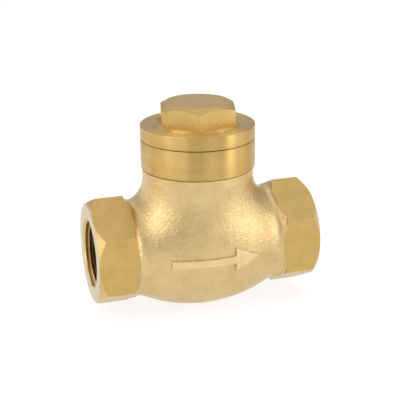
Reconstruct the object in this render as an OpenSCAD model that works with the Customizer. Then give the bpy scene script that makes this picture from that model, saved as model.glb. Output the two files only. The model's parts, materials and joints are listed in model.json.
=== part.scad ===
// Swing check valve with two female threaded ends and a screwed cap.
// Flow runs along +X. The origin is the centre of the inlet's mouth, +Z points up through the cap.

/* [Body] */
// Length from the inlet's mouth to the outlet's mouth
face_to_face = 70; // [69:0.5:72]
// Largest radius of the belly about the pipe axis
belly_r = 19.8; // [19.7:0.1:20.5]
// Radius of the arc that the belly's side follows
belly_arc_r = 43.7; // [43:0.1:45]
// Wall thickness of the belly
belly_wall = 3.6; // [3.4:0.1:3.8]
// Height of the raised flow arrows above the belly
arrow_height = 0.6; // [0.4:0.1:1]

/* [Threaded ends] */
// Distance across the flats of the end hexagons
end_flats = 30; // [29.5:0.1:30.4]
// Length of a hexagon's corner edges, from shoulder to outer chamfer
end_edge_length = 8.6; // [8.2:0.1:9]
// Radius of the flat ring at an end's mouth
mouth_ring_r = 14.95; // [14.8:0.05:15]
// Radius of the thread's crests
thread_r = 9.3155; // [9.2:0.0005:9.4]
// Depth of the threaded hole
thread_depth = 14.5; // [14:0.1:15]

/* [Neck and cap] */
// Radius of the cast neck
neck_r = 17.1; // [16.9:0.1:17.2]
// Radius of the machined ring, the cap and their joint
ring_r = 17.5; // [17.3:0.1:17.8]
// Radius of the neck's bore, which the cap screws into
neck_bore_r = 13.6; // [13.5:0.05:13.7]
// Height of the machined ring's lower edge above the pipe axis
ring_base_z = 24.9; // [24.5:0.1:25.5]
// Height of the neck's top face above the pipe axis
neck_top_z = 33.65; // [33:0.05:34]
// Thickness of the cap gasket
gasket_thickness = 0.25; // [0.2:0.05:0.6]
// Thickness of the cap's round flange
cap_flange = 4.1; // [3.8:0.05:4.5]
// Distance across the flats of the cap's hexagon
cap_flats = 22; // [21:0.5:23]
// Height of the cap's hexagon
cap_hex_height = 6.7; // [6:0.1:7]
// Length of the cap's threaded spigot
spigot_length = 8.5; // [8:0.1:8.6]

/* [Seat and flap] */
// Lean of the seat's face back from upright, which lets the flap close by its weight
seat_tilt = 8; // [6:0.5:9]
// Radius of the seat's bore
seat_bore_r = 7.5; // [7.2:0.1:7.6]
// Outer radius of the seat ring
seat_r = 9.6; // [9.5:0.1:9.7]
// Radius of the disc holder
disc_r = 10.4; // [10.2:0.1:10.5]
// Distance from the hinge pin's axis up the seat to the seat's centre
arm_length = 14.5; // [14.3:0.1:14.7]
// Radius of the hinge pin
pin_r = 1.5; // [1.3:0.1:1.6]
// Gap between a turning part and its pin
running_gap = 0.05; // [0.02:0.01:0.09]

/* [Hidden] */
$fn = 96;
step = 0.01; // how far a cut runs past the face that it opens

// Ends, measured from the crossing of the pipe's and the neck's axes
end_x = face_to_face / 2;
corner_outer_x = end_x - 2.4;
corner_inner_x = corner_outer_x - end_edge_length;
blank_r = end_flats / sqrt(3) + 0.08;
shoulder_start_x = 12;
shoulder_start_r = 12.6;
shoulder_bend_x = corner_inner_x - 2;
shoulder_bend_r = end_flats / 2 - 0.6;
mill_end_x = corner_inner_x - 1.2; // where the milled flats stop, in the cast shoulder
mouth_r = 10.3;
mouth_depth = 0.45;

// Chamber
chamber_end_x = 18.6;
outlet_passage_r = 8.3;

// Seat: along its axis, 0 is the face that the flap closes on
seat_x = -9;
seat_length = 6;
web_face = -1;

// Hinge, in the seat's frame: along the seat's axis, and up its face
hinge_out = 4.5;
hinge_x = seat_x + hinge_out * cos(seat_tilt) - arm_length * sin(seat_tilt);
hinge_z = hinge_out * sin(seat_tilt) + arm_length * cos(seat_tilt);
hub_r = 3.2;
hub_half = 7.9;
lug_r = 4;
lug_face_y = 8.1;
lug_reach_r = 14.5;
pin_front_y = -13.7;
pin_back_y = 13.8;

// Side plug
plug_r = 3.25;
plug_boss_r = 5.5;
plug_boss_y = 17.2;
plug_seat_y = 14;
plug_flats = 8;
plug_head = 2.1;
plug_washer_thickness = 0.5;

// Cap heights above the pipe axis
cap_base_z = neck_top_z + gasket_thickness;
cap_top_z = cap_base_z + cap_flange;
hex_top_z = cap_top_z + cap_hex_height;

// Flap stack, places along the seat's axis
face_back = 0.05;
face_thickness = 2;
holder_back = 3.85;
arm_front = 4.15;
arm_thickness = 2.5;
stud_r = 2;
stud_front = -3.4;
stud_back = 11;
washer_gap = 0.1;
hanger_washer_thickness = 0.6;
nut_flats = 7;
hanger_nut_height = 2.2;
face_nut_height = 2.2;
face_washer_thickness = 0.8;
split_pin_r = 0.5;
split_pin_place = 10.2;

// Puts a shape drawn about the axes' crossing in its place
module at_centre() {
    translate([end_x, 0, 0]) children();
}

// Lays a shape drawn about Z along the pipe's axis
module along_pipe() {
    rotate([0, 90, 0]) children();
}

// Seat's frame: X along the seat's axis towards the outlet, Z up the seat's face
module at_seat() {
    translate([seat_x, 0, 0]) rotate([0, -seat_tilt, 0]) children();
}

// Puts a shape drawn about Z on the hinge's axis, with Z towards the back
module at_hinge() {
    translate([hinge_x, 0, hinge_z]) rotate([-90, 0, 0]) children();
}

// Round ring about Z
module ring(inner_r, outer_r, height) {
    difference() {
        cylinder(r = outer_r, h = height);
        translate([0, 0, -step]) cylinder(r = inner_r, h = height + 2 * step);
    }
}

// Hexagonal prism about Z, measured across its flats
module hex_prism(flats, height) {
    cylinder(r = flats / sqrt(3), h = height, $fn = 6);
}

// Hexagonal nut about Z with a round hole and chamfered corners
module nut(flats, height, hole_r) {
    intersection() {
        difference() {
            hex_prism(flats, height);
            translate([0, 0, -step]) cylinder(r = hole_r, h = height + 2 * step);
        }
        cylinder(r1 = flats / 2 + height, r2 = flats / 2, h = height + step);
    }
}

// Belly as a solid of revolution about the pipe's axis, grown or shrunk all over
module belly(grow, back_x, front_x) {
    along_pipe() rotate_extrude() intersection() {
        translate([belly_r - belly_arc_r, 0]) circle(r = belly_arc_r + grow, $fn = 200);
        translate([0, back_x]) square([belly_r + grow + 1, front_x - back_x]);
    }
}

// Round blank of the outlet end, with its cast shoulder and its mouth chamfer
module end_blank() {
    shoulder_r = shoulder_bend_r + corner_inner_x - shoulder_bend_x;
    along_pipe() rotate_extrude() polygon([
        [0, shoulder_start_x],
        [shoulder_start_r, shoulder_start_x],
        [shoulder_bend_r, shoulder_bend_x],
        [shoulder_r, corner_inner_x],
        [blank_r, corner_inner_x],
        [blank_r, end_x - (blank_r - mouth_ring_r)],
        [mouth_ring_r, end_x],
        [0, end_x]
    ]);
}

// Outlet end with its six flats milled
module threaded_end() {
    difference() {
        end_blank();
        along_pipe() translate([0, 0, mill_end_x]) difference() {
            cylinder(r = blank_r + 2, h = end_x);
            translate([0, 0, -step]) hex_prism(end_flats, end_x + 2 * step);
        }
    }
}

module thread_hole() {
    along_pipe() {
        translate([0, 0, end_x - thread_depth]) cylinder(r = thread_r, h = thread_depth + step);
        translate([0, 0, end_x - mouth_depth])
            cylinder(r1 = thread_r, r2 = mouth_r, h = mouth_depth + step);
    }
}

module both_ends() {
    children();
    mirror([1, 0, 0]) children();
}

module arrow_outline() {
    polygon([[-14, -1.3], [6, -1.3], [6, -3.8], [14, 0], [6, 3.8], [6, 1.3], [-14, 1.3]]);
}

// Raised flow arrows on the front and the back of the belly
module flow_arrows() {
    intersection() {
        belly(arrow_height, -16, 16);
        rotate([90, 0, 0]) linear_extrude(height = 60, center = true) arrow_outline();
    }
}

module casting() {
    belly(0, -22, 22);
    flow_arrows();
    both_ends() threaded_end();
    cylinder(r = neck_r, h = ring_base_z + step);
    translate([0, 0, ring_base_z]) cylinder(r = ring_r, h = neck_top_z - ring_base_z);
    at_hinge() cylinder(r = plug_boss_r, h = plug_boss_y);
}

// Chamber and neck bore, up to the web that holds the seat
module chamber() {
    intersection() {
        union() {
            belly(-belly_wall, -18, chamber_end_x);
            cylinder(r = neck_bore_r, h = neck_top_z + step);
        }
        at_seat() translate([web_face, -50, -50]) cube(100);
    }
}

module inner_space() {
    chamber();
    both_ends() thread_hole();
    at_seat() along_pipe() {
        translate([0, 0, -13]) cylinder(r = seat_bore_r, h = 14);
        translate([0, 0, -seat_length]) cylinder(r = seat_r + running_gap, h = seat_length);
    }
    along_pipe() translate([0, 0, chamber_end_x - 2])
        cylinder(r = outlet_passage_r, h = end_x - thread_depth - chamber_end_x + 3);
}

// Two lugs in the chamber that carry the hinge pin
module lugs() {
    intersection() {
        for (side = [-1, 1])
            at_hinge() translate([0, 0, side > 0 ? lug_face_y : -lug_face_y - 8])
                cylinder(r = lug_r, h = 8);
        cylinder(r = lug_reach_r, h = ring_base_z);
    }
}

module pin_hole() {
    at_hinge() {
        translate([0, 0, pin_front_y - 0.2])
            cylinder(r = pin_r + running_gap, h = plug_boss_y - pin_front_y);
        translate([0, 0, plug_seat_y]) cylinder(r = plug_r + running_gap, h = 10);
    }
}

module body() {
    color("burlywood") at_centre() difference() {
        union() {
            difference() {
                casting();
                inner_space();
            }
            lugs();
        }
        pin_hole();
    }
}

module cap() {
    spigot_r = neck_bore_r - running_gap;
    hollow_r = 11;
    color("goldenrod") at_centre() difference() {
        union() {
            translate([0, 0, cap_base_z - spigot_length]) cylinder(r = spigot_r, h = spigot_length + 1);
            translate([0, 0, cap_base_z]) cylinder(r = ring_r, h = cap_flange);
            translate([0, 0, cap_top_z]) cylinder(r1 = 13.5, r2 = 12.75, h = 0.6);
            translate([0, 0, cap_top_z]) intersection() {
                rotate([0, 0, 16.8]) hex_prism(cap_flats, cap_hex_height);
                cylinder(r1 = 9.8 + 1.73 * cap_hex_height, r2 = 9.8, h = cap_hex_height);
            }
        }
        translate([0, 0, cap_base_z - spigot_length - step])
            cylinder(r = hollow_r, h = spigot_length + 1.5);
        translate([0, 0, cap_base_z]) cylinder(r = 6.5, h = cap_flange + 2);
    }
}

module cap_gasket() {
    color("dimgray") at_centre() translate([0, 0, neck_top_z]) ring(14.3, 17.1, gasket_thickness);
}

module seat_ring() {
    color("peru") at_centre() at_seat() along_pipe() translate([0, 0, -seat_length])
        ring(seat_bore_r, seat_r, seat_length);
}

module hinge_pin() {
    color("silver") at_centre() at_hinge() translate([0, 0, pin_front_y])
        cylinder(r = pin_r, h = pin_back_y - pin_front_y);
}

module hinge_pin_plug() {
    head_y = plug_boss_y + plug_washer_thickness;
    color("goldenrod") at_centre() at_hinge() {
        translate([0, 0, pin_back_y + 0.3]) cylinder(r = plug_r, h = head_y - pin_back_y);
        translate([0, 0, head_y]) intersection() {
            hex_prism(plug_flats, plug_head);
            cylinder(r1 = plug_flats / 2 + plug_head, r2 = plug_flats / 2, h = plug_head + step);
        }
    }
}

module plug_washer() {
    color("dimgray") at_centre() at_hinge() translate([0, 0, plug_boss_y])
        ring(plug_r + 0.1, 5.2, plug_washer_thickness);
}

module hanger() {
    eye_r = 4.5;
    arm_half_width = 3;
    color("burlywood") at_centre() difference() {
        union() {
            at_hinge() translate([0, 0, -hub_half]) cylinder(r = hub_r, h = 2 * hub_half);
            at_seat() {
                along_pipe() translate([0, 0, arm_front]) cylinder(r = eye_r, h = arm_thickness);
                translate([arm_front, -arm_half_width, 0])
                    cube([arm_thickness, 2 * arm_half_width, arm_length]);
            }
        }
        at_hinge() translate([0, 0, -hub_half - 1])
            cylinder(r = pin_r + running_gap, h = 2 * hub_half + 2);
        at_seat() along_pipe() translate([0, 0, arm_front - 1])
            cylinder(r = stud_r + 0.3, h = arm_thickness + 2);
    }
}

module disc_holder() {
    rim_r = 9.55;
    holder_front = face_back + face_thickness;
    color("goldenrod") at_centre() at_seat() along_pipe() difference() {
        union() {
            translate([0, 0, holder_front]) cylinder(r = disc_r, h = holder_back - holder_front);
            translate([0, 0, 0.7]) ring(rim_r, disc_r, holder_front - 0.7 + step);
            translate([0, 0, stud_front]) cylinder(r = stud_r, h = stud_back - stud_front);
        }
        translate([0, 0, split_pin_place]) rotate([90, 0, 0])
            cylinder(r = split_pin_r + running_gap, h = 10, center = true);
    }
}

module disc_face() {
    color("dimgray") at_centre() at_seat() along_pipe() translate([0, 0, face_back])
        ring(stud_r + 0.05, 9.5, face_thickness);
}

module face_washer() {
    color("silver") at_centre() at_seat() along_pipe()
        translate([0, 0, face_back - face_washer_thickness])
            ring(stud_r + 0.05, 5, face_washer_thickness);
}

module face_nut() {
    color("goldenrod") at_centre() at_seat() along_pipe()
        translate([0, 0, face_back - face_washer_thickness]) mirror([0, 0, 1])
            nut(nut_flats, face_nut_height, stud_r + 0.02);
}

module hanger_washer() {
    color("silver") at_centre() at_seat() along_pipe()
        translate([0, 0, arm_front + arm_thickness + washer_gap])
            ring(stud_r + 0.05, 4.2, hanger_washer_thickness);
}

module hanger_nut() {
    color("goldenrod") at_centre() at_seat() along_pipe()
        translate([0, 0, arm_front + arm_thickness + washer_gap + hanger_washer_thickness])
            nut(nut_flats, hanger_nut_height, stud_r + 0.02);
}

// Round pin through the stud, with an eye that stops it at one end
module split_pin() {
    eye_r = 1;
    eye_place = 3.3;
    color("silver") at_centre() at_seat() translate([split_pin_place, 0, 0]) rotate([-90, 0, 0]) {
        translate([0, 0, eye_r - eye_place]) cylinder(r = split_pin_r, h = 2.9 + eye_place - eye_r);
        translate([0, 0, -eye_place]) rotate([90, 0, 90])
            rotate_extrude() translate([eye_r, 0]) circle(r = 0.35, $fn = 24);
    }
}

body();
cap();
cap_gasket();
seat_ring();
hinge_pin();
hinge_pin_plug();
plug_washer();
hanger();
disc_holder();
disc_face();
face_washer();
face_nut();
hanger_washer();
hanger_nut();
split_pin();
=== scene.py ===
import json
import math

import bpy
import numpy as np
from mathutils import Matrix, Vector


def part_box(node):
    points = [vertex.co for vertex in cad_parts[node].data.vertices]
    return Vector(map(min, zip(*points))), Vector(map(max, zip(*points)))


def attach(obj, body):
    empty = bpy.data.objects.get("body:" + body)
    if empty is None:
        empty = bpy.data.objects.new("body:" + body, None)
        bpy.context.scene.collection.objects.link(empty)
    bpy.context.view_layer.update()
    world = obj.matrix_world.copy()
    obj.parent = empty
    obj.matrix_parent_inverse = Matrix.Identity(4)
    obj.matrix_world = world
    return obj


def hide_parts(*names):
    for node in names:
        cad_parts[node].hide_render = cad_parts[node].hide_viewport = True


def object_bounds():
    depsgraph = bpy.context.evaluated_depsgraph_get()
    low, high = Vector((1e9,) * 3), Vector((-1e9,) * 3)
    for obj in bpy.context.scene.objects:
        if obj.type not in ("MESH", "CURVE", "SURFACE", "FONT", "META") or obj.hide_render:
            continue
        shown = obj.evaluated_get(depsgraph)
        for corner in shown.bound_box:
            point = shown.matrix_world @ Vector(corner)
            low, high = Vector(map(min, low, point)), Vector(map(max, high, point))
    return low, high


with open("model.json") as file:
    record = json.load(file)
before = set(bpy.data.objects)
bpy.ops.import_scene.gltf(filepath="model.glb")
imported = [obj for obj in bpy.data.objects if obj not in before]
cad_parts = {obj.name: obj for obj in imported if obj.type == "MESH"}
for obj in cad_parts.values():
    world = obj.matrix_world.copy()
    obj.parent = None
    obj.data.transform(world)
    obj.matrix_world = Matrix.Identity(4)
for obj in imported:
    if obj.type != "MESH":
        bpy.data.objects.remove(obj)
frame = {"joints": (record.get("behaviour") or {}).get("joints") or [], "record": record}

cad_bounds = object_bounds()

# ---------------------------------------------------------------------------
# Frame: every shape below is drawn in millimetres about the crossing of the
# pipe's and the neck's axes, and moved to the row's frame when it is made.
# ---------------------------------------------------------------------------

MM = 0.001
mounts = {m["name"]: m for m in frame["record"]["mounts"]}
joints = {j["name"]: j for j in frame["joints"]}
CENTRE = (Vector(mounts["inlet"]["pos_m"]) + Vector(mounts["outlet"]["pos_m"])) / 2
HALF_LENGTH = (Vector(mounts["outlet"]["pos_m"]) - CENTRE).length / MM


def box_mm(node):
    """Lowest and highest corner of a CAD node, in millimetres about the crossing."""
    lo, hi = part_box(node)
    return (lo - CENTRE) / MM, (hi - CENTRE) / MM


cap_lo, cap_hi = box_mm("cap")
gasket_lo, gasket_hi = box_mm("cap_gasket")
pin_lo, pin_hi = box_mm("hinge_pin")
plug_lo, plug_hi = box_mm("hinge_pin_plug")
washer_lo, washer_hi = box_mm("plug_washer")

BELLY_R = -box_mm("body")[0].z
RING_R = cap_hi.x
NECK_TOP = gasket_lo.z
CAP_BASE = gasket_hi.z
CAP_TOP = cap_hi.z

seat_axis = Vector(joints["disc_spin"]["axis"]).normalized()
seat_centre = (Vector(joints["disc_spin"]["pos_m"]) - CENTRE) / MM
hinge = (Vector(joints["flap_swing"]["pos_m"]) - CENTRE) / MM


def axes(origin, z_axis, x_axis):
    """Matrix that carries a shape drawn about Z to an origin and a direction."""
    z = Vector(z_axis).normalized()
    y = z.cross(Vector(x_axis)).normalized()
    x = y.cross(z)
    turn = Matrix((x, y, z)).transposed().to_4x4()
    return Matrix.Translation(Vector(origin)) @ turn


UPRIGHT = Matrix.Identity(4)
TO_OUTLET = axes((0, 0, 0), (1, 0, 0), (0, 0, 1))
TO_INLET = axes((0, 0, 0), (-1, 0, 0), (0, 0, 1))
ON_SEAT = axes(seat_centre, seat_axis, (0, 1, 0))
ON_HINGE = axes(hinge, (0, 1, 0), (1, 0, 0))

# Sizes that the frame doesn't hold, in millimetres. Casting:
BELLY_HALF = 30.55          # half length of the ellipse that the belly follows
BELLY_WALL = 3.6
FLATTENING = 0.023          # how much flatter than round the belly's front and back are
NECK_R = 17.12
NECK_OFFSET = -0.12         # the cast neck sits a little off the machined ring's axis
SHOULDER_X, SHOULDER_R = 24.0, 16.4
SHOULDER_NECK_R = 14.2      # the shoulder's least radius, where it meets the belly
SHOULDER_OFFSET = 0.2       # the cast shoulders sit a little above the machined ends' axis
SHOULDER_FILLET, NECK_FILLET = 2.5, 5.5
ARROW_HEIGHT = 0.6

# Machined ends and neck
RING_BASE = 24.9            # height of the ring's lower edge
FLATS = 30.0
BLANK_R = 17.27             # the turned blank, a little under the hexagon's corners
BLANK_X = 24.0              # where the turned blank starts
MOUTH_R = 14.95             # flat ring at the mouth, inside the chamfer
MILL_END_X = 22.75          # where the mill's travel ends
PIPE_THREAD = 9.3155, 10.478, 1.814     # minor radius, major radius and pitch
PIPE_X = HALF_LENGTH - 14.5             # bottom of the threaded hole

# Cap
CAP_MINOR, CAP_MAJOR, CAP_PITCH = 13.05, 13.9, 1.5
CAP_THREAD_START = cap_lo.z - 1.5
CAP_FLANGE = 4.1
CAP_FLATS, CAP_TURN = 22, 16.8          # across the flats, and how far the cap is turned, in degrees

# Seat and flap, with places along the seat's axis counted from the seat's centre
SEAT_BORE, SEAT_R, SEAT_LENGTH = 7.5, 9.6, 6.0
DISC_R, FACING_R = 10.4, 9.5
STUD_THREAD = 1.65, 2.0, 0.7            # minor radius, major radius and pitch
STUD_HOLE_R = 2.05
ARM_FRONT, ARM_BACK = 4.15, 6.65
ARM_LENGTH = 14.5
PIN_R = 1.5
HUB_R, HUB_HALF = 3.2, 7.9  # radius and half length of the hub on the hinge pin
split_pin_place = seat_centre + seat_axis * 10.2

# ---------------------------------------------------------------------------
# Mesh tools: a shape is (vertices, faces), with vertices as an array in mm
# ---------------------------------------------------------------------------


def softened(points, radius, steps=4):
    """An outline with its corners rounded. The radius is one value, or one for each point."""
    count = len(points)
    radii = radius if isinstance(radius, (list, tuple)) else [radius] * count
    out = []
    for i, (point, r) in enumerate(zip(points, radii)):
        here = np.array(point, float)
        if r <= 0:
            out.append(tuple(here))
            continue
        before = np.array(points[i - 1], float) - here
        after = np.array(points[(i + 1) % count], float) - here
        la, lb = np.linalg.norm(before), np.linalg.norm(after)
        before, after = before / la, after / lb
        half = math.acos(max(-1.0, min(1.0, float(before @ after)))) / 2
        reach = min(r / math.tan(half), 0.49 * la, 0.49 * lb)
        true_r = reach * math.tan(half)
        middle = before + after
        middle = middle / np.linalg.norm(middle) * true_r / math.sin(half)
        start, end = before * reach - middle, after * reach - middle
        swing = math.pi - 2 * half
        for s in range(steps + 1):
            k = s / steps
            mixed = (math.sin((1 - k) * swing) * start + math.sin(k * swing) * end) / math.sin(swing)
            out.append(tuple(here + middle + mixed))
    return out


def lathe(outline, segments=96, ring=False):
    """Solid of revolution about Z from (radius, height) points. The outline starts and ends on the axis,
    or for a ring it is a closed loop clear of it."""
    points = np.array(outline, float)
    angles = np.arange(segments) * 2 * math.pi / segments
    cos, sin = np.cos(angles), np.sin(angles)
    vertices, rows = [], []
    for r, h in points:
        first = len(vertices)
        if r < 1e-6:
            vertices.append((0.0, 0.0, h))
            rows.append([first] * segments)
        else:
            vertices.extend(zip(r * cos, r * sin, [h] * segments))
            rows.append(list(range(first, first + segments)))
    above = rows[1:] + rows[:1] if ring else rows[1:]
    faces = []
    for low, high in zip(rows, above):
        for i in range(segments):
            j = (i + 1) % segments
            loop = [low[i], low[j], high[j], high[i]]
            face = list(dict.fromkeys(loop))
            if len(face) > 2:
                faces.append(face)
    return oriented(np.array(vertices), faces)


def oriented(vertices, faces):
    """The same shape with its faces turned outwards."""
    volume = 0.0
    for face in faces:
        a = vertices[face[0]]
        for k in range(1, len(face) - 1):
            volume += float(np.dot(a, np.cross(vertices[face[k]], vertices[face[k + 1]])))
    if volume < 0:
        faces = [face[::-1] for face in faces]
    return vertices, faces


def bands(rows, count):
    """Faces between rows of count vertices each, every row closed on itself."""
    faces = []
    for row in range(rows - 1):
        low, high = row * count, (row + 1) * count
        for i in range(count):
            j = (i + 1) % count
            faces.append([low + i, low + j, high + j, high + i])
    return faces


def closed_bands(rows, count):
    """Bands with a face across the first row and one across the last."""
    first = list(range(count))[::-1]
    last = list(range((rows - 1) * count, rows * count))
    return [first, *bands(rows, count), last]


def thread(minor, major, pitch, start, end, segments=96, samples=12):
    """Closed right-hand screw about Z. Rows of vertices run along the helix, so that crests stay crisp.
    A fan over the first turn, and one over the last, close its ends."""
    rows = int(math.ceil((end - start) / pitch)) * samples
    phase = (np.arange(rows + 1) % samples) / samples
    flat = 0.14                 # share of the pitch that is flat at the root, and at the crest
    height = np.clip((np.abs(2 * phase - 1) - flat) / (1 - 2 * flat), 0, 1)
    radius = minor + (major - minor) * height
    turn = np.arange(segments) / segments
    angle = turn * 2 * math.pi
    vertices = []
    for row in range(rows + 1):
        z = start + pitch * (row / samples + turn)
        vertices.extend(zip(radius[row] * np.cos(angle), radius[row] * np.sin(angle), z))

    def at(row, i):
        """A row's vertex; after its last comes the first vertex of the row one pitch higher."""
        return (row + samples) * segments if i == segments else row * segments + i

    last = rows - samples
    faces = []
    for row in range(last):
        for i in range(segments):
            faces.append([at(row, i), at(row, i + 1), at(row + 1, i + 1), at(row + 1, i)])
    bottom = [at(0, i) for i in range(segments)] + [k * segments for k in range(samples, 0, -1)]
    top = [at(last, i) for i in range(segments)]
    top += [(last + k) * segments for k in range(samples, 0, -1)]
    for loop, flip in ((bottom, True), (top, False)):
        middle = len(vertices)
        vertices.append((0.0, 0.0, float(np.mean([vertices[v][2] for v in loop]))))
        for a, b in zip(loop, loop[1:] + loop[:1]):
            faces.append([middle, b, a] if flip else [middle, a, b])
    return oriented(np.array(vertices), faces)


def prism(outline, low, high):
    """Straight prism about Z from an outline of (x, y) points."""
    count = len(outline)
    vertices = [(x, y, z) for z in (low, high) for x, y in outline]
    faces = [list(range(count))[::-1], list(range(count, 2 * count))]
    faces += [[i, (i + 1) % count, count + (i + 1) % count, count + i] for i in range(count)]
    return oriented(np.array(vertices, float), faces)


def hexagon(flats, turn=0.0):
    """Corners of a hexagon measured across its flats, turned by an angle in degrees."""
    corner = flats / math.sqrt(3)
    angles = [math.radians(60 * k + turn) for k in range(6)]
    return [(corner * math.cos(a), corner * math.sin(a)) for a in angles]


def block(low, high):
    """Box between two corners."""
    (x0, y0, z0), (x1, y1, z1) = low, high
    return prism([(x0, y0), (x1, y0), (x1, y1), (x0, y1)], z0, z1)


def swept(path, radius, segments=12):
    """Round bar along a path, with its ends closed."""
    path = np.array(path, float)
    tangents = np.gradient(path, axis=0)
    tangents /= np.linalg.norm(tangents, axis=1)[:, None]
    side = np.cross(tangents[0], (0.3, 0.5, 0.8))
    vertices = []
    for point, tangent in zip(path, tangents):
        side = side - tangent * (side @ tangent)
        side /= np.linalg.norm(side)
        other = np.cross(tangent, side)
        for k in range(segments):
            a = 2 * math.pi * k / segments
            vertices.append(point + radius * (side * math.cos(a) + other * math.sin(a)))
    return oriented(np.array(vertices), closed_bands(len(path), segments))


# ---------------------------------------------------------------------------
# Materials
# ---------------------------------------------------------------------------


class Nodes:
    """Short names for building a material's node tree."""

    def __init__(self, name):
        self.material = bpy.data.materials.new(name)
        self.material.use_nodes = True
        self.tree = self.material.node_tree
        self.tree.nodes.clear()
        self.shader = self.add("ShaderNodeBsdfPrincipled")
        out = self.add("ShaderNodeOutputMaterial")
        self.link(self.shader.outputs["BSDF"], out.inputs["Surface"])
        coords = self.add("ShaderNodeTexCoord")
        self.place = self.vector("SCALE", coords.outputs["Object"], scale=1 / MM)

    def add(self, kind, **values):
        """New node with some of its settings."""
        made = self.tree.nodes.new(kind)
        for key, value in values.items():
            setattr(made, key, value)
        return made

    def link(self, source, target):
        self.tree.links.new(source, target)

    def put(self, value, target):
        """Connects a socket, or sets a plain value."""
        if hasattr(value, "is_linked"):
            self.link(value, target)
        else:
            target.default_value = value

    def vector(self, operation, first, second=None, scale=None):
        """One vector operation."""
        made = self.add("ShaderNodeVectorMath", operation=operation)
        self.put(first, made.inputs[0])
        if second is not None:
            self.put(second, made.inputs[1])
        if scale is not None:
            made.inputs["Scale"].default_value = scale
        return made.outputs["Value" if operation in ("LENGTH", "DOT_PRODUCT") else "Vector"]

    def noise(self, size, place=None, detail=3.0, rough=0.55):
        """Noise from 0 to 1 with features of about size millimetres."""
        made = self.add("ShaderNodeTexNoise")
        made.inputs["Scale"].default_value = 1 / size
        made.inputs["Detail"].default_value = detail
        made.inputs["Roughness"].default_value = rough
        self.link(self.place if place is None else place, made.inputs["Vector"])
        return made.outputs["Fac"]

    def cells(self, size):
        """Distance from the middles of soft cells of about size millimetres."""
        made = self.add("ShaderNodeTexVoronoi", feature="SMOOTH_F1")
        made.inputs["Scale"].default_value = 1 / size
        made.inputs["Smoothness"].default_value = 0.6
        self.link(self.place, made.inputs["Vector"])
        return made.outputs["Distance"]

    def ramp(self, value, stops):
        """Colour that runs through (position, colour) stops."""
        made = self.add("ShaderNodeValToRGB")
        elements = made.color_ramp.elements
        while len(elements) < len(stops):
            elements.new(0.5)
        for element, (position, colour) in zip(elements, stops):
            element.position = position
            element.color = (*colour, 1.0)
        self.link(value, made.inputs["Fac"])
        return made.outputs["Color"]

    def span(self, value, low, high):
        """Maps noise's middle range to low..high."""
        made = self.add("ShaderNodeMapRange")
        made.inputs["From Min"].default_value = 0.3
        made.inputs["From Max"].default_value = 0.7
        made.inputs["To Min"].default_value = low
        made.inputs["To Max"].default_value = high
        self.link(value, made.inputs["Value"])
        return made.outputs["Result"]

    def bump(self, height, depth, below=None):
        """Bump of depth millimetres, on top of another one."""
        made = self.add("ShaderNodeBump")
        made.inputs["Strength"].default_value = 1.0
        made.inputs["Distance"].default_value = depth * MM
        self.link(height, made.inputs["Height"])
        if below is not None:
            self.link(below, made.inputs["Normal"])
        return made.outputs["Normal"]

    def finish(self, colour, roughness, normal=None, metallic=1.0, **uniform):
        """Sets the shader's inputs, the uniform ones by their own names, and gives the material."""
        self.put(colour, self.shader.inputs["Base Color"])
        self.put(roughness, self.shader.inputs["Roughness"])
        self.shader.inputs["Metallic"].default_value = metallic
        if normal is not None:
            self.link(normal, self.shader.inputs["Normal"])
        for key, value in uniform.items():
            self.shader.inputs[key].default_value = value
        return self.material


def cast_brass(name, light, dark, roughness, relief=1.0):
    """Shot-blasted casting: fine grain, shallow dimples, and faint mottling."""
    n = Nodes(name)
    mottling = n.noise(6.0, detail=4.0)
    colour = n.ramp(mottling, [(0.32, dark), (0.68, light)])
    grain = n.noise(0.5, detail=4.0, rough=0.6)
    dimples = n.cells(0.9)
    waves = n.noise(4.5, detail=2.0)
    normal = n.bump(waves, 0.14 * relief)
    normal = n.bump(dimples, 0.065 * relief, normal)
    normal = n.bump(grain, 0.13 * relief, normal)
    shine = n.span(n.noise(1.6, detail=4.0), roughness - 0.05, roughness + 0.06)
    return n.finish(colour, shine, normal)


def turned_brass(name, light, dark, roughness, axis, through, groove=0.16, depth=0.004, brushed=None):
    """Turned metal: fine marks run round an axis through a point, both in mm. Brushed names a main axis
    that the piece's box is centred on, across which the marks spread each reflection."""
    n = Nodes(name)
    place = n.vector("SUBTRACT", n.place, tuple(through))
    along = n.vector("DOT_PRODUCT", place, tuple(axis))
    offset = n.add("ShaderNodeVectorMath", operation="SCALE")
    offset.inputs[0].default_value = tuple(axis)
    n.link(along, offset.inputs["Scale"])
    outward = n.vector("LENGTH", n.vector("SUBTRACT", place, offset.outputs["Vector"]))
    track = n.add("ShaderNodeCombineXYZ")
    n.link(along, track.inputs["X"])
    n.link(outward, track.inputs["Y"])
    drift = n.vector("SCALE", place, scale=0.012)
    path = n.vector("ADD", track.outputs["Vector"], drift)
    marks = n.noise(groove, place=path, detail=4.0, rough=0.7)
    stains = n.noise(7.0, detail=4.0)
    colour = n.ramp(stains, [(0.3, dark), (0.7, light)])
    normal = n.bump(n.noise(9.0, detail=2.0), 0.05)
    normal = n.bump(marks, depth, normal)
    shine = n.span(n.noise(groove * 3, place=path, detail=3.0), roughness - 0.05, roughness + 0.05)
    if brushed is None:
        return n.finish(colour, shine, normal)
    tangent = n.add("ShaderNodeTangent", direction_type="RADIAL", axis=brushed)
    n.link(tangent.outputs["Tangent"], n.shader.inputs["Tangent"])
    n.shader.inputs["Anisotropic Rotation"].default_value = 0.25
    return n.finish(colour, shine, normal, Anisotropic=0.95)


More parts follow.
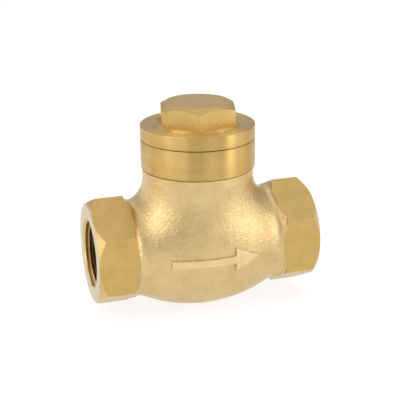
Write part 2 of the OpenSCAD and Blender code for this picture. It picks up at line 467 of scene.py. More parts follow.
def milled_brass(name, light, dark, roughness):
    """Milled flats: short fine scratches, slight waves and faint stains."""
    n = Nodes(name)
    stretched = n.vector("MULTIPLY", n.place, (1.0, 0.10, 0.10))
    marks = n.noise(0.22, place=stretched, detail=4.0, rough=0.7)
    stains = n.noise(5.0, detail=5.0, rough=0.6)
    colour = n.ramp(stains, [(0.3, dark), (0.7, light)])
    normal = n.bump(n.noise(7.0, detail=2.0), 0.05)
    normal = n.bump(n.noise(1.3, detail=3.0), 0.012, normal)
    normal = n.bump(marks, 0.006, normal)
    shine = n.span(n.noise(2.2, detail=4.0), roughness - 0.05, roughness + 0.06)
    return n.finish(colour, shine, normal)


def steel(name, tone, roughness):
    """Ground stainless steel with fine scratches."""
    n = Nodes(name)
    marks = n.noise(0.12, place=n.vector("MULTIPLY", n.place, (1.0, 0.12, 1.0)), detail=4.0)
    dark = tuple(c * 0.82 for c in tone)
    colour = n.ramp(n.noise(2.5), [(0.3, dark), (0.7, tone)])
    normal = n.bump(marks, 0.004)
    shine = n.span(n.noise(0.9), roughness - 0.05, roughness + 0.08)
    return n.finish(colour, shine, normal)


def rubber(name, tone):
    """Moulded rubber: matt, with a fine skin texture and a dusty bloom."""
    n = Nodes(name)
    bloom = n.noise(2.0, detail=5.0)
    colour = n.ramp(bloom, [(0.35, tone), (0.75, tuple(c * 2.2 for c in tone))])
    normal = n.bump(n.noise(0.12, detail=3.0), 0.012)
    return n.finish(colour, n.span(bloom, 0.55, 0.75), normal, metallic=0.0)


def fibre(name, tone):
    """Compressed fibre sheet: short fibres, matt."""
    n = Nodes(name)
    threads = n.noise(0.18, place=n.vector("MULTIPLY", n.place, (0.3, 1.0, 1.0)), detail=5.0)
    colour = n.ramp(threads, [(0.35, tuple(c * 0.6 for c in tone)), (0.65, tone)])
    return n.finish(colour, n.span(threads, 0.7, 0.9), n.bump(threads, 0.02), metallic=0.0)


centre_mm = CENTRE / MM
seat_mm = seat_centre + centre_mm
CAST = cast_brass("cast_brass", (0.69, 0.515, 0.255), (0.61, 0.435, 0.195), 0.31)
# Raised arrows: lighter than the casting around them, a painted highlight that makes them stand out; also
# a little smoother.
RAISED_HIGHLIGHT = cast_brass("cast_brass_raised_highlight", (0.78, 0.60, 0.33), (0.72, 0.53, 0.27), 0.28)
TURNED_Z = turned_brass(
    "turned_brass_upright", (0.64, 0.435, 0.155), (0.59, 0.39, 0.13), 0.40, (0, 0, 1), centre_mm,
    brushed="Z")
# Top and top chamfer of the cap's hexagon: turned like the flange but not brushed, and darker, which is
# painted shade on faces that look up.
TURNED_FACE_SHADED = turned_brass(
    "turned_brass_face_shaded", (0.58, 0.395, 0.15), (0.53, 0.355, 0.125), 0.36, (0, 0, 1), centre_mm)
FACED = turned_brass(
    "turned_brass_mouth", (0.61, 0.51, 0.34), (0.56, 0.46, 0.29), 0.32, (1, 0, 0), centre_mm)
TURNED_X = turned_brass(
    "turned_brass_pipe", (0.66, 0.48, 0.21), (0.61, 0.43, 0.175), 0.32, (1, 0, 0), centre_mm)
MILLED = milled_brass("milled_brass", (0.59, 0.405, 0.145), (0.52, 0.345, 0.11), 0.30)
# Threaded bores, much darker than the turned ends: painted shade for the dim inside of the bores.
SHADED_THREAD = turned_brass(
    "threaded_brass_shaded", (0.43, 0.26, 0.10), (0.33, 0.19, 0.07), 0.33, (1, 0, 0), centre_mm, 0.3)
# Inside of the casting, darker than its outside. On the relief groove under the neck's ring this dark
# tone is painted shade.
INSIDE_AND_SHADE = cast_brass("cast_brass_inside_and_shade", (0.46, 0.31, 0.13), (0.35, 0.23, 0.09), 0.52, 0.6)
FLAP = cast_brass("flap_brass", (0.62, 0.44, 0.19), (0.55, 0.38, 0.15), 0.38, 0.35)
NUT = milled_brass("nut_brass", (0.62, 0.42, 0.15), (0.55, 0.36, 0.11), 0.28)
DISC = turned_brass(
    "turned_brass_flap", (0.64, 0.44, 0.17), (0.58, 0.40, 0.14), 0.26, seat_axis, seat_mm)
BRONZE = turned_brass(
    "seat_bronze", (0.55, 0.33, 0.14), (0.49, 0.28, 0.11), 0.28, seat_axis, seat_mm)
PIN_STEEL = steel("pin_steel", (0.56, 0.56, 0.57), 0.22)
WASHER_STEEL = steel("washer_steel", (0.48, 0.48, 0.50), 0.32)
RUBBER = rubber("seal_rubber", (0.014, 0.014, 0.015))
FIBRE = fibre("gasket_fibre", (0.055, 0.042, 0.03))

# Slots of the body's mesh, which every shape that goes into it shares
BODY = [CAST, MILLED, TURNED_X, TURNED_Z, SHADED_THREAD, INSIDE_AND_SHADE, FACED, RAISED_HIGHLIGHT]

# ---------------------------------------------------------------------------
# Pieces
# ---------------------------------------------------------------------------

scene = bpy.context.scene


def solid(shape, material, placed=UPRIGHT, palette=None):
    """Temporary object from a shape, with the palette's slots and one material all over."""
    vertices, faces = shape
    mesh = bpy.data.meshes.new("work")
    mesh.from_pydata([placed @ Vector(v) for v in vertices.tolist()], [], faces)
    palette = palette or [material]
    for entry in palette:
        mesh.materials.append(entry)
    mesh.polygons.foreach_set("material_index", [palette.index(material)] * len(mesh.polygons))
    made = bpy.data.objects.new("work", mesh)
    scene.collection.objects.link(made)
    return made


def combined(target, operation, *others):
    """Applies boolean steps to target and removes the other operands."""
    for other in others:
        step = target.modifiers.new("step", "BOOLEAN")
        step.operation = operation
        step.solver = "MANIFOLD"
        step.object = other
    graph = bpy.context.evaluated_depsgraph_get()
    result = bpy.data.meshes.new_from_object(target.evaluated_get(graph))
    target.modifiers.clear()
    old = target.data
    target.data = result
    bpy.data.meshes.remove(old)
    for other in others:
        mesh = other.data
        bpy.data.objects.remove(other)
        bpy.data.meshes.remove(mesh)
    return target


def piece(made, name, body, slot, *nodes, crease=32.0):
    """Turns a work object into a named piece in the row's frame that rides on a CAD body."""
    made.name = name
    made.data.name = name
    made.data.transform(Matrix.Translation(CENTRE) @ Matrix.Scale(MM, 4))
    made.data.polygons.foreach_set("use_smooth", [True] * len(made.data.polygons))
    made.data.set_sharp_from_angle(angle=math.radians(crease))
    made.data.update()
    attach(made, body)
    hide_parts(*nodes)
    return made


# Body casting ---------------------------------------------------------------


def blended(first, second, width):
    """Union of two distance fields with a fillet of about that width."""
    near = np.maximum(width - np.abs(first - second), 0) / width
    return np.minimum(first, second) - near * near * width / 4


def casting_field(p):
    """Signed distance, roughly, to the cast outside: belly, shoulders and neck."""
    x, z = np.abs(p[..., 0]), p[..., 2]
    y = p[..., 1] * (1 + FLATTENING * np.exp(-(x / 20) ** 2 - (z / 12) ** 2))
    around_pipe = np.hypot(y, z)
    around_end = np.hypot(y, z - SHOULDER_OFFSET)
    scaled = np.hypot(x / BELLY_HALF, around_pipe / BELLY_R)
    slope = np.hypot(x / BELLY_HALF ** 2, around_pipe / BELLY_R ** 2)
    belly = scaled * (scaled - 1) / np.maximum(slope, 1e-9)
    # The shoulder's radius grows gently, then at 45 degrees up to its rim.
    steep = SHOULDER_R + (x - SHOULDER_X)
    gentle = SHOULDER_NECK_R + 0.25 * (x - 21.5)
    cone = np.minimum(-blended(-steep, -gentle, 1.2), SHOULDER_R + 0.15)
    shoulder = np.maximum((around_end - cone) * 0.85, x - 30)
    neck = np.maximum(np.hypot(p[..., 0] - NECK_OFFSET, y) - NECK_R, z - (RING_BASE + 2))
    neck = np.where(z < 0, np.maximum(neck, -z), neck)
    return blended(blended(belly, shoulder, SHOULDER_FILLET), neck, NECK_FILLET)


def surface_distance(field, starts, directions, reach):
    """Distance along each direction at which the field turns positive, by halving."""
    low = np.zeros(starts.shape[:-1])
    high = np.full(starts.shape[:-1], float(reach))
    for _ in range(30):
        middle = (low + high) / 2
        outside = field(starts + directions * middle[..., None]) > 0
        high = np.where(outside, middle, high)
        low = np.where(outside, low, middle)
    return (low + high) / 2


def casting_rays():
    """Rays in the half plane (along the pipe, outwards) that each meet the casting once: a fan from the
    crossing for belly and neck, then rays that turn upright and walk along the shoulders."""
    least, upright = 37.0, 90.0
    fan = np.radians(np.linspace(least, upright, 90))
    turn = np.linspace(0, 1, 12)[:0:-1]
    turned = np.radians(least + (upright - least) * turn)
    pivot_x, pivot_r = 19.2 + 1.8 * turn, 14.46
    walk = np.concatenate([np.linspace(21.15, 24.6, 30), np.linspace(25.2, 29.4, 8)])[::-1]
    start = np.concatenate([walk, pivot_x - pivot_r / np.tan(turned), np.zeros_like(fan)])
    angle = np.concatenate([np.full(walk.shape, math.pi / 2), turned, fan])
    mirrored_start, mirrored_angle = -start[-2::-1], math.pi - angle[-2::-1]
    return np.concatenate([start, mirrored_start]), np.concatenate([angle, mirrored_angle])


def casting_shape(segments=288):
    """Skin of the casting: the place where each ray leaves it, on rings about the pipe's axis."""
    start, polar = casting_rays()
    rows = len(start)
    turn = np.arange(segments) * 2 * math.pi / segments
    a, b = np.meshgrid(polar, turn, indexing="ij")
    directions = np.stack([np.cos(a), np.sin(a) * np.cos(b), np.sin(a) * np.sin(b)], -1)
    origins = np.zeros_like(directions)
    origins[..., 0] = start[:, None]
    distance = surface_distance(casting_field, origins, directions, 45)
    grid = (origins + directions * distance[..., None]).reshape(-1, 3)
    tips = np.array([(start[0], 0, 0), (start[-1], 0, 0)])
    vertices = np.concatenate([grid, tips])
    faces = bands(rows, segments)
    last = (rows - 1) * segments
    for i in range(segments):
        j = (i + 1) % segments
        faces.append([len(grid), j, i])
        faces.append([len(grid) + 1, last + i, last + j])
    return oriented(vertices, faces)


def arrow_distance(x, z):
    """Distance outside (positive) or inside a flow arrow that points along +X."""
    corners = [(-14, -1.3), (5.5, -1.3), (5.5, -4.0), (14, 0), (5.5, 4.0), (5.5, 1.3), (-14, 1.3)]
    nearest = np.full(x.shape, 1e9)
    inside = np.zeros(x.shape, bool)
    for (x0, z0), (x1, z1) in zip(corners, corners[1:] + corners[:1]):
        dx, dz = x1 - x0, z1 - z0
        t = np.clip(((x - x0) * dx + (z - z0) * dz) / (dx * dx + dz * dz), 0, 1)
        nearest = np.minimum(nearest, np.hypot(x - x0 - t * dx, z - z0 - t * dz))
        crosses = (z0 > z) != (z1 > z)
        with np.errstate(divide="ignore", invalid="ignore"):
            crosses &= x < x0 + (z - z0) * dx / dz if dz else np.zeros_like(crosses)
        inside ^= crosses
    return np.where(inside, -nearest, nearest)


def arrow_shape(side, step=0.12):
    """Raised arrow with soft edges on the belly's front (side -1) or back (side 1)."""
    xs = np.arange(-15.4, 15.41, step)
    zs = np.arange(-5.2, 5.21, step)
    x, z = np.meshgrid(xs, zs, indexing="ij")
    starts = np.stack([x, np.zeros_like(x), z], -1)
    directions = np.zeros_like(starts)
    directions[..., 1] = side
    skin = surface_distance(casting_field, starts, directions, 30)
    rise = np.clip((0.1 - arrow_distance(x, z)) / 0.34, 0, 1)
    rise = rise * rise * (3 - 2 * rise)
    sunk = 0.25
    outer = skin - sunk + (ARROW_HEIGHT + sunk) * rise
    rows, columns = x.shape
    vertices = np.concatenate([
        np.stack([x, side * outer, z], -1).reshape(-1, 3),
        np.stack([x, side * (skin - 2), z], -1).reshape(-1, 3)])
    faces = []
    count = rows * columns
    for i in range(rows - 1):
        for j in range(columns - 1):
            a = i * columns + j
            quad = [a, a + 1, a + columns + 1, a + columns]
            faces.append(quad)
            faces.append([count + v for v in quad[::-1]])
    rim = [i * columns for i in range(rows)]
    rim += [(rows - 1) * columns + j for j in range(1, columns)]
    rim += [i * columns + columns - 1 for i in range(rows - 2, -1, -1)]
    rim += [j for j in range(columns - 2, 0, -1)]
    for a, b in zip(rim, rim[1:] + rim[:1]):
        faces.append([a, b, count + b, count + a])
    return oriented(vertices, faces)


def round_cutter(radius, low, high, placed, material, segments=96):
    """Plain cylinder about Z between two heights, for cutting the body."""
    outline = [(0, low), (radius, low), (radius, high), (0, high)]
    return solid(lathe(outline, segments), material, placed, BODY)


def end_blank():
    """Turned blank of a threaded end, before its flats are milled."""
    return lathe(softened([
        (0, BLANK_X),
        (BLANK_R, BLANK_X),
        (BLANK_R, HALF_LENGTH - (BLANK_R - MOUTH_R)),
        (MOUTH_R, HALF_LENGTH),
        (0, HALF_LENGTH)], [0, 0.3, 0.15, 0.2, 0], 3), 192)


def flats_cutter(toward):
    """Space beside the six flats, from the end of the mill's travel outwards."""
    outer = round_cutter(22, MILL_END_X, HALF_LENGTH + 1, toward, MILLED)
    inner = prism(hexagon(FLATS), MILL_END_X - 1, HALF_LENGTH + 2)
    return combined(outer, "DIFFERENCE", solid(inner, MILLED, toward, BODY))


def port_cutter(toward):
    """Threaded hole of an end, with its countersink and its run-out groove."""
    screw = thread(*PIPE_THREAD, PIPE_X + 0.4, HALF_LENGTH + 3)
    groove = lathe([
        (0, PIPE_X), (10.2, PIPE_X), (10.7, PIPE_X + 0.5), (10.7, PIPE_X + 1.9),
        (9.4, PIPE_X + 3), (0, PIPE_X + 3)])
    sink = lathe([
        (0, HALF_LENGTH - 2.6), (8.2, HALF_LENGTH - 2.6), (10.8, HALF_LENGTH),
        (11.8, HALF_LENGTH + 1), (0, HALF_LENGTH + 1)])
    # The thread and its run-out groove take the darker thread material, painted shade inside the bore.
    return combined(
        solid(screw, SHADED_THREAD, toward, BODY), "UNION",
        solid(groove, SHADED_THREAD, toward, BODY), solid(sink, TURNED_X, toward, BODY))


def chamber_cutter():
    """Chamber and neck bore, cut off at the web that holds the seat."""
    belly = []
    for x in np.linspace(-19.0, 18.6, 40):
        radius = (BELLY_R - BELLY_WALL) * math.sqrt(1 - (x / (BELLY_HALF - 3)) ** 2)
        belly.append((radius, x))
    outline = [(0, -19.0)] + belly + [(0, 18.6)]
    made = solid(lathe(outline, 128), INSIDE_AND_SHADE, TO_OUTLET, BODY)
    bore = lathe([(0, 0), (13.2, 0), (13.2, NECK_TOP + 1), (0, NECK_TOP + 1)], 128)
    combined(made, "UNION", solid(bore, INSIDE_AND_SHADE, UPRIGHT, BODY))
    keep = block((-60, -60, -1), (60, 60, 70))
    return combined(made, "INTERSECT", solid(keep, INSIDE_AND_SHADE, ON_SEAT, BODY))


def neck_thread_cutter():
    """Thread that the cap screws into, with a lead-in at its top."""
    clear = 0.12
    screw = thread(CAP_MINOR + clear, CAP_MAJOR + clear, CAP_PITCH, CAP_THREAD_START, NECK_TOP + 3)
    low, high = NECK_TOP - 1.2, NECK_TOP + 0.15
    lead = lathe([(0, low), (13.0, low), (14.35, high), (0, high)])
    return combined(
        solid(screw, TURNED_Z, UPRIGHT, BODY), "UNION", solid(lead, TURNED_Z, UPRIGHT, BODY))


def relief_cutter():
    """Narrow relief turned into the neck under the machined ring, which shows as a dark line: its faces
    take the dark inside material, painted shade on top of the groove's own shadow.
    """
    low, root = RING_BASE - 0.4, NECK_R - 0.22
    relief = [(root, low), (RING_R + 1, low), (RING_R + 1, RING_BASE), (root, RING_BASE)]
    return solid(lathe(relief, 256, ring=True), INSIDE_AND_SHADE, UPRIGHT, BODY)


def pin_lugs():
    """The two lugs inside the neck that carry the hinge pin, cut to fit into its bore."""
    lugs = [
        solid(lathe(softened([(0, low), (4.0, low), (4.0, high), (0, high)], [0, 0.4, 0.4, 0]), 64),
              INSIDE_AND_SHADE, ON_HINGE, BODY)
        for low, high in ((-14.2, -8.1), (8.1, 14.2))]
    combined(lugs[0], "UNION", lugs[1])
    return combined(lugs[0], "INTERSECT", round_cutter(14.5, 5, 25, UPRIGHT, INSIDE_AND_SHADE, 128))


def make_body():
    """Casting with its machined ends, neck, side boss, passages and threads."""
    body = solid(casting_shape(), CAST, UPRIGHT, BODY)
    ring = lathe(softened([
        (0, RING_BASE), (RING_R, RING_BASE), (RING_R, NECK_TOP), (0, NECK_TOP)],
        [0, 0.12, 0.1, 0], 3), 256)
    boss_face = washer_lo.y - hinge.y
    boss = lathe(softened([
        (0, 8), (9.0, 8), (6.4, 14.6), (5.5, boss_face), (0, boss_face)],
        [0, 0, 2.5, 0.25, 0], 6), 96)
    combined(
        body, "UNION",
        solid(end_blank(), TURNED_X, TO_OUTLET, BODY),
        solid(end_blank(), TURNED_X, TO_INLET, BODY),
        solid(ring, TURNED_Z, UPRIGHT, BODY),
        solid(boss, CAST, ON_HINGE, BODY),
        solid(arrow_shape(-1), RAISED_HIGHLIGHT, UPRIGHT, BODY),
        solid(arrow_shape(1), RAISED_HIGHLIGHT, UPRIGHT, BODY))
    combined(
        body, "DIFFERENCE",
        flats_cutter(TO_OUTLET),
        flats_cutter(TO_INLET),
        port_cutter(TO_OUTLET),
        port_cutter(TO_INLET),
        chamber_cutter(),
        neck_thread_cutter(),
        relief_cutter(),
        round_cutter(8.3, 16.6, PIPE_X + 1, TO_OUTLET, INSIDE_AND_SHADE),
        round_cutter(SEAT_BORE, -13, 1, ON_SEAT, INSIDE_AND_SHADE),
        round_cutter(SEAT_R + 0.05, -SEAT_LENGTH, 3, ON_SEAT, TURNED_X))
    combined(body, "UNION", pin_lugs())
    combined(
        body, "DIFFERENCE",
        round_cutter(PIN_R + 0.05, pin_lo.y - 0.2, 15, ON_HINGE, TURNED_Z, 48),
        round_cutter(3.35, pin_hi.y + 0.2, 20, ON_HINGE, TURNED_Z, 64))
    # The flat ring round each mouth has its own finish.
    for face in body.data.polygons:
        if abs(abs(face.center.x) - HALF_LENGTH) < 0.02:
            face.material_index = BODY.index(FACED)
    return piece(body, "body_casting", "valve_body", "cast_brass", "body")


# Cap and gasket ---------------------------------------------------------------


def make_cap():
    """Cap: threaded spigot, round flange, and a hexagonal boss that is hollow from below."""
    base, top = CAP_BASE, CAP_TOP
    palette = [TURNED_Z, MILLED, TURNED_FACE_SHADED]
    flange_top = base + CAP_FLANGE
    screw = thread(CAP_MINOR, CAP_MAJOR, CAP_PITCH, CAP_THREAD_START, base + 1)
    spigot = solid(screw, TURNED_Z, UPRIGHT, palette)
    limit = lathe(softened([
        (0, cap_lo.z), (13.1, cap_lo.z), (14.2, cap_lo.z + 1.1), (14.2, base - 1.4),
        (12.95, base - 1.3), (12.95, base + 0.2), (0, base + 0.2)], [0, 0.1, 0, 0, 0.2, 0, 0], 3), 96)
    combined(spigot, "INTERSECT", solid(limit, TURNED_Z, UPRIGHT, palette))
    flange = lathe(softened([
        (0, base), (RING_R, base), (RING_R, flange_top), (13.4, flange_top),
        (12.9, flange_top + 0.6), (0, flange_top + 0.6)],
        [0, 0.08, 0.25, 0.1, 0.12, 0], 5), 256)
    # The hexagon's top and chamfer take the darker face material, painted shade.
    blank = solid(lathe(softened([
        (0, base + 2), (12.9, base + 2), (12.9, top - 1.79), (9.8, top), (0, top)],
        [0, 0, 0.1, 0.35, 0], 4), 192), TURNED_FACE_SHADED, UPRIGHT, palette)
    sides = prism(hexagon(CAP_FLATS, CAP_TURN), base + 1, top + 1)
    cap = combined(blank, "INTERSECT", solid(sides, MILLED, UPRIGHT, palette))
    combined(cap, "UNION", solid(flange, TURNED_Z, UPRIGHT, palette), spigot)
    hollow = lathe(softened([
        (0, cap_lo.z - 1), (11, cap_lo.z - 1), (11, base + 1.5), (7.2, base + 2.4),
        (6.5, top - 4.6), (0, top - 4.3)], [0, 0, 1.0, 0.5, 1.0, 0], 5), 96)
    combined(cap, "DIFFERENCE", solid(hollow, TURNED_Z, UPRIGHT, palette))
    return piece(cap, "cap_body", "screw_cap", "turned_brass", "cap")


def washer_shape(inner, outer, low, high, edge, segments):
    """Flat ring with rounded edges."""
    return lathe(softened(
        [(inner, low), (outer, low), (outer, high), (inner, high)], edge, 3), segments, ring=True)


def make_gasket():
    """Fibre ring between the neck and the cap's flange."""
    made = solid(washer_shape(14.3, 17.05, gasket_lo.z, gasket_hi.z, 0.05, 128), FIBRE)
    return piece(made, "cap_gasket_ring", "cap_seal", "gasket_fibre", "cap_gasket")


# Seat, pin and side plug ------------------------------------------------------


def make_seat():
    """Bronze seat with a narrow raised lip that the facing closes on."""
    made = solid(lathe(softened([
        (SEAT_BORE, -SEAT_LENGTH), (SEAT_R, -SEAT_LENGTH), (SEAT_R, -0.45),
        (8.9, -0.35), (8.6, 0), (7.95, 0), (SEAT_BORE, -0.45)],
        [0.2, 0.25, 0.2, 0.15, 0.15, 0.15, 0.2], 4), 128, ring=True), BRONZE, ON_SEAT)
    return piece(made, "seat_insert", "valve_body", "seat_bronze", "seat_ring")


def make_pin():
    """Hinge pin, which lies across the neck."""
    made = solid(lathe(softened([
        (0, pin_lo.y), (PIN_R, pin_lo.y), (PIN_R, pin_hi.y), (0, pin_hi.y)],
        [0, 0.3, 0.3, 0], 4), 48), PIN_STEEL, ON_HINGE)
    return piece(made, "hinge_shaft", "valve_body", "pin_steel", "hinge_pin")


def make_plug():
    """Side plug that keeps the pin in: a hexagonal head and a short screw."""
    head, top = washer_hi.y, plug_hi.y
    blank = solid(lathe(softened([
        (0, head), (4.0, head), (4.55, head + 0.35), (4.55, top - 0.5), (3.75, top), (0, top)],
        [0, 0.1, 0.1, 0.1, 0.1, 0], 3), 96), TURNED_Z, ON_HINGE)
    made = combined(blank, "INTERSECT", solid(prism(hexagon(8), head - 1, top + 1), NUT, ON_HINGE))
    made.data.materials.append(NUT)
    screw = solid(thread(2.8, 3.25, 0.8, plug_lo.y - 1.5, head + 1, 48, 8), TURNED_Z, ON_HINGE)
    limit = lathe([
        (0, plug_lo.y), (2.7, plug_lo.y), (3.3, plug_lo.y + 0.6),
        (3.3, head + 0.2), (0, head + 0.2)], 48)
    combined(screw, "INTERSECT", solid(limit, TURNED_Z, ON_HINGE))
    combined(made, "UNION", screw)
    return piece(made, "side_plug", "valve_body", "turned_brass", "hinge_pin_plug")


def make_plug_washer():
    """Soft washer under the side plug's head."""
    made = solid(washer_shape(3.4, 5.2, washer_lo.y, washer_hi.y, 0.12, 64), FIBRE, ON_HINGE)
    return piece(made, "side_plug_washer", "valve_body", "gasket_fibre", "plug_washer")


# Flap -------------------------------------------------------------------------


def arm_shape(sections=24):
    """Arm between hub and eye, up the seat's face: a rounded bar that widens towards both."""
    vertices = []
    for up in np.linspace(-1.0, ARM_LENGTH, sections):
        k = (up + 1.0) / (ARM_LENGTH + 1.0)
        half_width = 2.7 + 1.5 * (2 * k - 1) ** 4 * (0.5 + 0.5 * k) + 0.9 * (1 - k) ** 4
        back = ARM_BACK + 0.55 * math.sin(math.pi * k)
        outline = softened([
            (-half_width, ARM_FRONT), (half_width, ARM_FRONT),
            (half_width, back), (-half_width, back)], 0.8, 4)
        vertices.extend((across, up, out) for across, out in outline)
    return oriented(np.array(vertices), closed_bands(sections, len(outline)))


def make_hanger():
    """Hanger: a hub on the hinge pin, an eye for the disc's stud, and the arm between them."""
    hub = lathe(softened([
        (0, -HUB_HALF), (HUB_R, -HUB_HALF), (HUB_R, HUB_HALF), (0, HUB_HALF)],
        [0, 0.45, 0.45, 0], 4), 72)
    eye = lathe(softened([
        (0, ARM_FRONT), (4.5, ARM_FRONT), (4.5, ARM_BACK), (0, ARM_BACK)], [0, 0.4, 0.4, 0], 4), 72)
    palette = [FLAP, DISC]
    made = solid(hub, FLAP, ON_HINGE, palette)
    combined(
        made, "UNION",
        solid(eye, FLAP, ON_SEAT, palette),
        solid(arm_shape(), FLAP, ON_SEAT, palette))
    bore = lathe([
        (0, -9), (2.0, -9), (2.0, -7.75), (PIN_R + 0.05, -7.3),
        (PIN_R + 0.05, 7.3), (2.0, 7.75), (2.0, 9), (0, 9)], 48)
    hole = lathe([
        (0, 3), (2.6, 3), (2.6, 4.3), (2.3, 4.6),
        (2.3, 6.2), (2.6, 6.5), (2.6, 8), (0, 8)], 48)
    combined(
        made, "DIFFERENCE",
        solid(bore, DISC, ON_HINGE, palette),
        solid(hole, DISC, ON_SEAT, palette))
    return piece(made, "flap_hanger", "flap_arm", "flap_brass", "hanger")


def make_disc_holder():
    """Disc with a rim around its facing, and a stud with a hole for the split pin."""
    plate = lathe(softened([
        (0, 2.05), (FACING_R + 0.05, 2.05), (FACING_R + 0.05, 0.7), (DISC_R, 0.7),
        (DISC_R, 3.3), (DISC_R - 0.5, 3.85), (3.6, 3.85), (3.4, 3.95), (0, 3.95)],
        [0, 0.1, 0.15, 0.2, 0.2, 0.2, 0.1, 0, 0], 4), 128)
    made = solid(plate, DISC, ON_SEAT)
    stud = solid(thread(*STUD_THREAD, -4.5, 13, 40, 8), DISC, ON_SEAT)
    limit = lathe([
        (0, -3.4), (1.6, -3.4), (2.1, -2.9), (2.1, 10.5), (1.6, 11.0), (0, 11.0)], 40)
    combined(stud, "INTERSECT", solid(limit, DISC, ON_SEAT))
    combined(made, "UNION", stud)
    hole = lathe([(0, -5), (0.55, -5), (0.55, 5), (0, 5)], 24)
    through = axes(split_pin_place, (0, 1, 0), (1, 0, 0))
    combined(made, "DIFFERENCE", solid(hole, DISC, through))
    return piece(made, "disc_carrier", "flap_disc", "turned_brass", "disc_holder")


def make_disc_face():
    """Soft facing, a little proud where it meets the seat's lip."""
    made = solid(lathe(softened([
        (STUD_HOLE_R, 0.12), (5.5, 0.12), (7.0, 0.06), (FACING_R - 0.2, 0.06),
        (FACING_R, 0.3), (FACING_R, 2.04), (STUD_HOLE_R, 2.04)],
        [0.1, 0.3, 0.3, 0.2, 0.1, 0.1, 0.1], 4), 128, ring=True), RUBBER, ON_SEAT)
    return piece(made, "disc_facing", "flap_disc", "seal_rubber", "disc_face")


def make_washers():
    """Washer in front of the facing, and washer behind the hanger's eye."""
    front = solid(washer_shape(STUD_HOLE_R, 5.0, -0.75, 0.05, 0.15, 64), WASHER_STEEL, ON_SEAT)
    piece(front, "facing_washer", "flap_disc", "washer_steel", "face_washer")
    back = solid(washer_shape(STUD_HOLE_R, 4.2, 6.75, 7.35, 0.12, 64), WASHER_STEEL, ON_SEAT)
    piece(back, "arm_washer", "flap_disc", "washer_steel", "hanger_washer")


def nut_solid(low, high, placed):
    """Hexagon nut with both ends chamfered and a countersunk hole."""
    blank = solid(lathe(softened([
        (0, low), (3.4, low), (4.0, low + 0.35), (4.0, high - 0.35), (3.4, high), (0, high)],
        [0, 0.05, 0.05, 0.05, 0.05, 0], 2), 96), NUT, placed)
    made = combined(blank, "INTERSECT", solid(prism(hexagon(7, 30), low - 1, high + 1), NUT, placed))
    hole = lathe([
        (0, low - 1), (3.4, low - 1), (2.4, low), (2.03, low + 0.4),
        (2.03, high - 0.4), (2.4, high), (3.4, high + 1), (0, high + 1)], 48)
    return combined(made, "DIFFERENCE", solid(hole, NUT, placed))


def make_nuts():
    """Nut in front of the facing, and nut behind the hanger's washer."""
    piece(nut_solid(-2.95, -0.75, ON_SEAT), "facing_nut", "flap_disc", "nut_brass", "face_nut")
    piece(nut_solid(7.35, 9.55, ON_SEAT), "arm_nut", "flap_disc", "nut_brass", "hanger_nut")


def make_split_pin():
    """Folded wire: an eye at one end, two legs through the stud, and their tips bent apart."""
    gap, wire = 0.26, 0.24
    eye = [(0.0, -4.4), (0.5, -4.3), (0.85, -3.9), (0.85, -3.4), (0.6, -2.9), (0.35, -2.5)]
    leg = [(gap, -2.2)] + [(gap, y) for y in np.linspace(-2.0, 2.0, 5)]
    tip = [(gap + 0.08, 2.35), (0.5, 2.65), (0.95, 2.85), (1.5, 2.9)]
    half = eye + leg + tip
    smooth = np.array([(-x, y) for x, y in half[::-1]] + half[1:], float)
    for _ in range(2):
        nearer = 0.75 * smooth[:-1] + 0.25 * smooth[1:]
        further = 0.25 * smooth[:-1] + 0.75 * smooth[1:]
        inner = np.stack([nearer, further], 1).reshape(-1, 2)
        smooth = np.concatenate([smooth[:1], inner, smooth[-1:]])
    place = axes(split_pin_place, seat_axis, (0, 1, 0))
    points = [(y, x, 0.0) for x, y in smooth]
    made = solid(swept(points, wire), PIN_STEEL, place)
    return piece(made, "locking_pin", "flap_disc", "pin_steel", "split_pin", crease=60)


make_body()
make_cap()
make_gasket()
make_seat()
make_pin()
make_plug()
make_plug_washer()
make_hanger()
make_disc_holder()
make_disc_face()
make_washers()
make_nuts()
make_split_pin()

# ---------------------------------------------------------------------------
# Studio: pale floor, soft boxes and the camera
# ---------------------------------------------------------------------------


def make_floor():
    """White paper that lights itself a little, so that it is as pale as the photograph's."""
    floor_z = cad_bounds[0][2]
    half = 4.0
    mesh = bpy.data.meshes.new("studio_floor")
    corners = [(-half, -half), (half, -half), (half, half), (-half, half)]
    mesh.from_pydata([(x, y, floor_z) for x, y in corners], [], [[0, 1, 2, 3]])
    floor = bpy.data.objects.new("studio_floor", mesh)
    scene.collection.objects.link(floor)
    n = Nodes("studio_paper")
    n.finish((0.26, 0.255, 0.25, 1.0), 0.9, metallic=0.0)
    n.shader.inputs["Emission Color"].default_value = (1.0, 1.0, 1.0, 1.0)
    n.shader.inputs["Emission Strength"].default_value = 0.80
    mesh.materials.append(n.material)


def around(azimuth, elevation, distance):
    """A place seen from the crossing, with azimuth 0 towards -Y and positive to the right."""
    a, e = math.radians(azimuth), math.radians(elevation)
    out = distance * math.cos(e)
    return Vector((out * math.sin(a), -out * math.cos(a), distance * math.sin(e)))


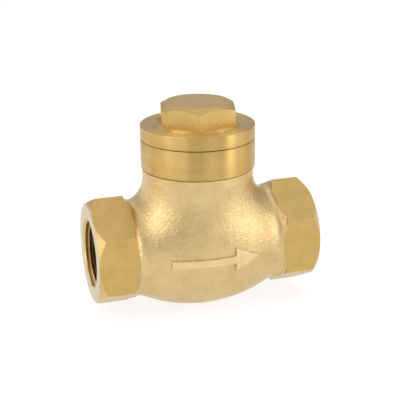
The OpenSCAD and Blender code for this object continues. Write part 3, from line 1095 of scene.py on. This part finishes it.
def soft_box(name, azimuth, elevation, width, height, brightness, distance=0.6):
    """Light panel that faces the crossing, sized in metres. A brightness of 1 looks white in a mirror."""
    data = bpy.data.lights.new(name, "AREA")
    data.shape = "RECTANGLE"
    data.size = width
    data.size_y = height
    data.energy = brightness * math.pi * width * height
    made = bpy.data.objects.new(name, data)
    scene.collection.objects.link(made)
    place = around(azimuth, elevation, distance)
    made.location = CENTRE + place
    made.rotation_euler = (-place).to_track_quat("-Z", "Y").to_euler()
    made.visible_camera = False


def make_lights():
    """Soft boxes around the valve, and the light of the room. A box has azimuth, elevation, width,
    height and brightness, and some have a distance."""
    soft_box("key_left", -70, 36, 0.36, 0.20, 3.1)
    soft_box("wide_left", -88, 8, 0.56, 0.26, 1.1, 0.7)
    soft_box("strip_left", -42, 12, 0.08, 0.40, 1.1)
    soft_box("front", 12, 20, 0.24, 0.40, 0.55)
    soft_box("strip_right", 50, 12, 0.17, 0.56, 2.6)
    soft_box("wide_right", 74, 22, 0.44, 0.44, 0.95, 0.7)
    soft_box("rear_left", -128, 16, 0.30, 0.30, 0.7)
    soft_box("rear", 165, 42, 0.50, 0.20, 0.6)
    soft_box("overhead", 0, 88, 0.90, 0.90, 0.45)
    world = bpy.data.worlds.new("studio_air")
    world.use_nodes = True
    background = world.node_tree.nodes["Background"]
    background.inputs["Color"].default_value = (1.0, 1.0, 1.0, 1.0)
    background.inputs["Strength"].default_value = 0.60
    scene.world = world
    scene.view_settings.view_transform = "Standard"


def make_camera():
    """Camera at the photograph's angle: placed from the crossing by angles, distance and aim."""
    azimuth, elevation = -16.894, 19.119
    roll = math.radians(-0.751)
    focal = 2.46361             # focal length over the frame's width
    distance = 0.311074
    aim = (-0.0025, -0.0985)    # where the crossing lies, in frame widths from the middle
    back = around(azimuth, elevation, 1)
    right = (-back).cross(Vector((0, 0, 1))).normalized()
    up = right.cross(-back)
    right, up = (
        right * math.cos(roll) + up * math.sin(roll),
        up * math.cos(roll) - right * math.sin(roll))
    data = bpy.data.cameras.new("camera")
    data.sensor_width = 36.0
    data.lens = focal * data.sensor_width
    data.clip_start = 0.01
    data.clip_end = 20.0
    camera = bpy.data.objects.new("camera", data)
    scene.collection.objects.link(camera)
    place = CENTRE + back * distance
    place -= right * (aim[0] / focal * distance) + up * (aim[1] / focal * distance)
    turn = Matrix((right, up, back)).transposed().to_4x4()
    camera.matrix_world = Matrix.Translation(place) @ turn
    scene.camera = camera


make_floor()
make_lights()
make_camera()
